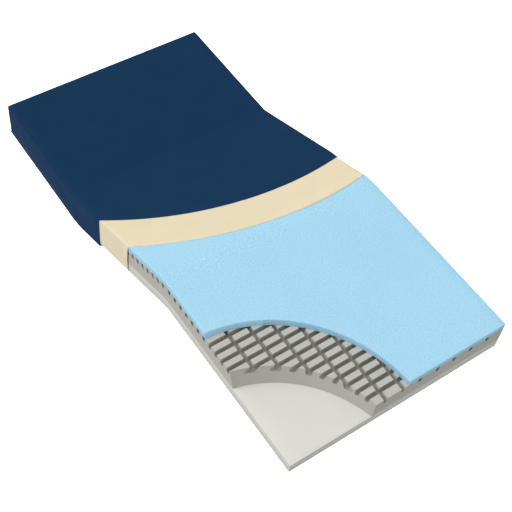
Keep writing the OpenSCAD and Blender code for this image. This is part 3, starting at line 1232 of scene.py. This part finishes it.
class MATTRESS_OT_flap(bpy.types.Operator):
    """The flap over the zip, its sewn binding, and the stitching along the zip"""

    bl_idname = "mattress.flap"
    bl_label = "Zip flap"

    def execute(self, context):
        size, lay = sizes(), bending()
        z = size.zip_height
        face_x = -size.back_length
        top, bottom = z + FLAP_REACH, z - FLAP_REACH
        navy = finish(cover_finish, "cover fabric", colours().cover)

        bm = band(spread(*FLAP_SPAN, 0.01), spread(bottom, top, 0.0042), face_x - 0.011)
        for v in bm.verts:
            drop = (top - v.co.z) / (top - bottom)
            v.co.x -= drop * drop * flap_sway(v.co.y)
        cloth_map(bm, face_x, top, COVER_HALF)
        flap = piece("flap_cloth", bm, navy, lay)
        thicken(flap, 0.0009)
        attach(flap, "flap")
        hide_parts("zip_flap")
        hem = bottom + 0.005
        drop = (top - hem) / (top - bottom)
        stitch_row(
            "flap_hem_stitches", face_x - 0.0112, hem, FLAP_SPAN, "flap",
            lambda y: drop * drop * flap_sway(y),
        )

        zs = spread(top + 0.0007, top + 0.0067, 0.002)
        bm = band(spread(*FLAP_SPAN, 0.012), zs, face_x - 0.0096)
        made = bmesh.ops.extrude_face_region(bm, geom=bm.faces[:])["geom"]
        inner = [g for g in made if isinstance(g, bmesh.types.BMVert)]
        bmesh.ops.translate(bm, vec=(0.0034, 0, 0), verts=inner)
        bmesh.ops.recalc_face_normals(bm, faces=bm.faces[:])
        round_edges(bm, sharp_edges(bm), 0.0012, 3)
        cloth_map(bm, face_x, top, COVER_HALF)
        strip = piece("flap_binding_strip", bm, navy, lay)
        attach(strip, "back")
        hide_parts("flap_binding")
        stitch_row("binding_stitches", face_x - 0.0097, top + 0.0037, FLAP_SPAN, "back")

        cover_x = face_x - size.cover_stand - 0.0001
        zip_span = (-size.zip_length / 2, size.zip_length / 2)
        stitch_row("zip_stitches_upper", cover_x, z + 0.0105, zip_span, "back")
        stitch_row("zip_stitches_lower", cover_x, z - 0.0105, zip_span, "back")
        return {"FINISHED"}


# ---------------------------------------------------------------- stage


class MATTRESS_OT_stage(bpy.types.Operator):
    """A pale floor below the lowest pose, soft light and the camera"""

    bl_idname = "mattress.stage"
    bl_label = "Stage"

    swing_room = 0.28  # the flat back section and the lowered foot section reach this far down
    room_light = 0.58
    window_light = 1.82
    window_side = (-0.14, -0.565, 0.813)
    camera_at = (2.514, -1.577, 2.932)

    def execute(self, context):
        scene = context.scene
        scene.view_settings.view_transform = "Standard"
        world = bpy.data.worlds.new("soft room")
        scene.world = world
        world.use_nodes = True
        sky = world.node_tree.nodes["Background"]
        sky.inputs["Color"].default_value = (1, 1, 1, 1)
        sky.inputs["Strength"].default_value = self.room_light

        sun_data = bpy.data.lights.new("window light", "SUN")
        sun_data.energy = self.window_light
        sun_data.angle = math.radians(60)
        sun = bpy.data.objects.new("window light", sun_data)
        sun.rotation_euler = Vector(self.window_side).to_track_quat("Z", "Y").to_euler()
        scene.collection.objects.link(sun)

        bm = bmesh.new()
        bmesh.ops.create_grid(bm, x_segments=8, y_segments=8, size=60)
        bmesh.ops.translate(bm, vec=(0, 0, -self.swing_room), verts=bm.verts[:])
        floor = rough_part("floor", bm)
        pale = Finish("pale floor", (0.97, 0.97, 0.97), 0.95, 0.0)
        pale.set(pale.shader, "Emission Color", (1.0, 1.0, 1.0, 1.0))
        pale.set(pale.shader, "Emission Strength", 1.0)
        floor.data.materials.append(pale.material)
        floor.visible_diffuse = False

        lens = bpy.data.cameras.new("camera")
        lens.lens = 75.0
        lens.sensor_width = 36.0
        lens.clip_end = 100.0
        camera = bpy.data.objects.new("camera", lens)
        right = Vector((0.5704, 0.8212, -0.0185)).normalized()
        back = Vector((0.5826, -0.3885, 0.7139)).normalized()
        up = back.cross(right).normalized()
        right = up.cross(back)
        turn = Matrix((right, up, back)).transposed().to_4x4()
        camera.matrix_world = Matrix.Translation(self.camera_at) @ turn
        scene.collection.objects.link(camera)
        scene.camera = camera
        return {"FINISHED"}


class MATTRESS_PT_pieces(bpy.types.Panel):
    """Lists the pieces of the mattress in the sidebar"""

    bl_idname = "MATTRESS_PT_pieces"
    bl_label = "Mattress"
    bl_space_type = "VIEW_3D"
    bl_region_type = "UI"
    bl_category = "Mattress"

    def draw(self, context):
        for kind in PIECES:
            self.layout.operator(kind.bl_idname)
        for group in (context.scene.mattress_sizes, context.scene.mattress_colours):
            for name in group.__annotations__:
                self.layout.prop(group, name)


PIECES = (
    MATTRESS_OT_stage,
    MATTRESS_OT_base_foam,
    MATTRESS_OT_cell_foam,
    MATTRESS_OT_gel_foam,
    MATTRESS_OT_fire_sock,
    MATTRESS_OT_cover_top,
    MATTRESS_OT_cover_base,
    MATTRESS_OT_zip,
    MATTRESS_OT_flap,
)
CLASSES = (MattressSizes, MattressColours, *PIECES, MATTRESS_PT_pieces)


def register():
    for kind in CLASSES:
        bpy.utils.register_class(kind)
    bpy.types.Scene.mattress_sizes = PointerProperty(type=MattressSizes)
    bpy.types.Scene.mattress_colours = PointerProperty(type=MattressColours)


def unregister():
    del bpy.types.Scene.mattress_sizes
    del bpy.types.Scene.mattress_colours
    for kind in reversed(CLASSES):
        bpy.utils.unregister_class(kind)


def main():
    register()
    bpy.ops.mattress.stage()
    bpy.ops.mattress.base_foam()
    bpy.ops.mattress.cell_foam()
    bpy.ops.mattress.gel_foam()
    bpy.ops.mattress.fire_sock()
    bpy.ops.mattress.cover_top()
    bpy.ops.mattress.cover_base()
    bpy.ops.mattress.zip()
    bpy.ops.mattress.flap()


if __name__ == "__main__":
    main()
